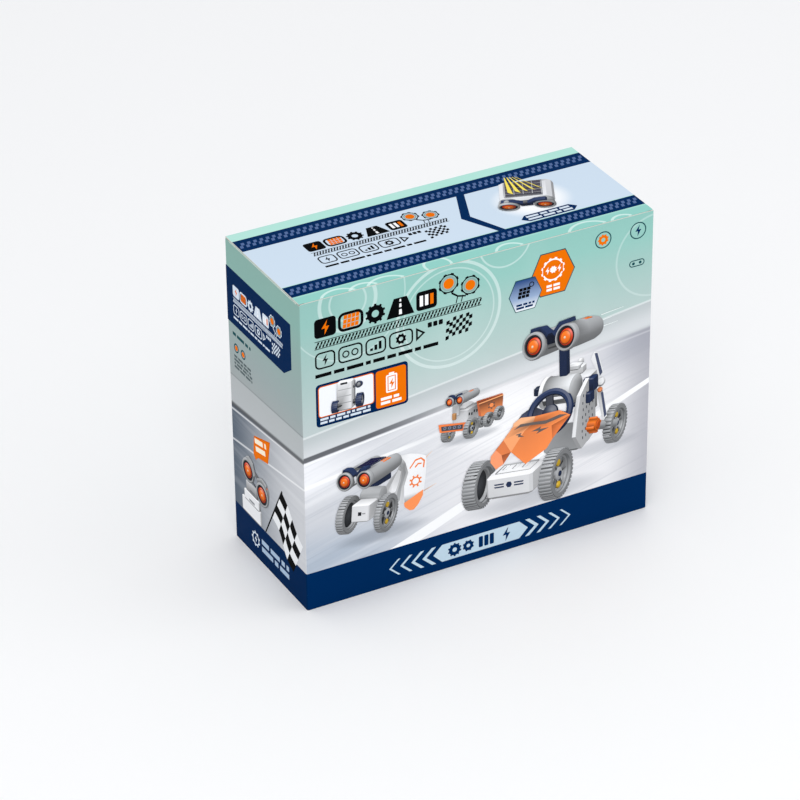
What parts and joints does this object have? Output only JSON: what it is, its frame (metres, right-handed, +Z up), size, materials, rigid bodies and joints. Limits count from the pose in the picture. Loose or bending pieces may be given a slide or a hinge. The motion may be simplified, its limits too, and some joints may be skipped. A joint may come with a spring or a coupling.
{
  "type": "boxed solar robot kit",
  "caption": "Upright tuck-top retail carton holding a solar robot construction kit: tray, head, wheels, drive unit, battery box, runner frames and papers.",
  "frame": {"origin": "Centre of the carton's footprint, on the surface it stands on.", "axes": "+X along the carton's width to its right end, +Y from the front face to the back face, +Z up."},
  "size_m": [0.26, 0.106, 0.229],
  "materials": {
    "carton_print": "offset-printed micro-flute board, gloss varnish",
    "carton_lid": "offset-printed micro-flute board, gloss varnish",
    "carton_board": "unprinted grey-white board",
    "kraft_card": "kraft corrugated card",
    "paper": "coated paper",
    "white_plastic": "moulded white plastic, fine texture",
    "grey_plastic": "moulded grey plastic, fine texture",
    "navy_plastic": "moulded navy plastic, satin",
    "orange_plastic": "moulded orange plastic, gloss",
    "orange_lens": "tinted lens, polished",
    "black_plastic": "moulded black plastic, satin",
    "yellow_plastic": "moulded yellow plastic, gloss",
    "solar_cell": "solar cells under clear resin",
    "steel": "drawn steel"
  },
  "bodies": {
    "carton": {"axle_rod_1": "steel", "axle_rod_2": "steel", "back_panel": "carton_print", "battery_box": "white_plastic", "battery_contact_left": "steel", "battery_contact_right": "steel", "body_plate_left": "white_plastic", "body_plate_right": "white_plastic", "bottom_flap_back": "carton_print", "bottom_flap_front": "carton_print", "bottom_flap_left": "carton_board", "bottom_flap_right": "carton_board", "front_panel": "carton_print", "gear_large": "orange_plastic", "gear_small": "yellow_plastic", "gearbox_case_back": "white_plastic", "gearbox_case_front": "white_plastic", "glue_tab": "carton_board", "head_shell": "grey_plastic", "head_visor": "navy_plastic", "hood_panel": "orange_plastic", "hub_cap_1": "orange_plastic", "hub_cap_2": "orange_plastic", "hub_cap_3": "orange_plastic", "hub_cap_4": "orange_plastic", "instruction_booklet": "paper", "label_sheet": "paper", "left_panel": "carton_print", "lens_bezel_left": "black_plastic", "lens_bezel_right": "black_plastic", "lens_left": "orange_lens", "lens_right": "orange_lens", "motor": "steel", "neck_post": "navy_plastic", "parts_tray": "kraft_card", "right_panel": "carton_print", "solar_panel": "solar_cell", "sprue_grey": "grey_plastic", "sprue_navy": "navy_plastic", "sprue_white": "white_plastic", "steering_wheel": "navy_plastic", "tray_divider_left": "kraft_card", "tray_divider_right": "kraft_card", "tray_platform": "kraft_card", "tray_riser_left": "kraft_card", "tray_riser_right": "kraft_card", "wheel_1": "grey_plastic", "wheel_2": "grey_plastic", "wheel_3": "grey_plastic", "wheel_4": "grey_plastic"},
    "lid": {"lid_panel": "carton_lid"},
    "tuck": {"lid_tuck_flap": "carton_lid"},
    "dust_left": {"dust_flap_left": "carton_board"},
    "dust_right": {"dust_flap_right": "carton_board"},
    "output": {"drive_gear": "orange_plastic", "output_axle": "steel"},
    "pinion": {"motor_pinion": "yellow_plastic", "motor_shaft": "steel"},
    "battery_lid": {"battery_door": "grey_plastic"},
    "switch": {"power_switch": "black_plastic"}
  },
  "joints": [
    {"name": "lid_hinge", "type": "hinge", "parent": "carton", "child": "lid", "pos_m": [0, 0.053, 0.229], "axis": [-1, 0, 0], "range_deg": [0, 210]},
    {"name": "tuck_fold", "type": "hinge", "parent": "lid", "child": "tuck", "pos_m": [0, -0.0519, 0.229], "axis": [-1, 0, 0], "range_deg": [0, 90]},
    {"name": "dust_left_hinge", "type": "hinge", "parent": "carton", "child": "dust_left", "pos_m": [-0.13, 0, 0.2279], "axis": [0, -1, 0], "range_deg": [0, 110]},
    {"name": "dust_right_hinge", "type": "hinge", "parent": "carton", "child": "dust_right", "pos_m": [0.13, 0, 0.2279], "axis": [0, 1, 0], "range_deg": [0, 110]},
    {"name": "output_spin", "type": "hinge", "parent": "carton", "child": "output", "pos_m": [0.09475, -0.024, 0.1728], "axis": [0, 1, 0], "continuous": true},
    {"name": "motor_spin", "type": "hinge", "parent": "carton", "child": "pinion", "pos_m": [0.075, -0.024, 0.1728], "axis": [0, 1, 0], "continuous": true},
    {"name": "battery_door_hinge", "type": "hinge", "parent": "carton", "child": "battery_lid", "pos_m": [0, 0.04, 0.1726], "axis": [-1, 0, 0], "range_deg": [0, 90]},
    {"name": "power_slide", "type": "slide", "parent": "carton", "child": "switch", "axis": [1, 0, 0], "range_m": [0, 0.004]}
  ],
  "couplings": [
    {"joint": "tuck_fold", "follows": "lid_hinge", "ratio": 0.4},
    {"joint": "dust_left_hinge", "follows": "lid_hinge", "ratio": 0.5},
    {"joint": "dust_right_hinge", "follows": "lid_hinge", "ratio": 0.5},
    {"joint": "motor_spin", "follows": "output_spin", "ratio": -2.5}
  ]
}
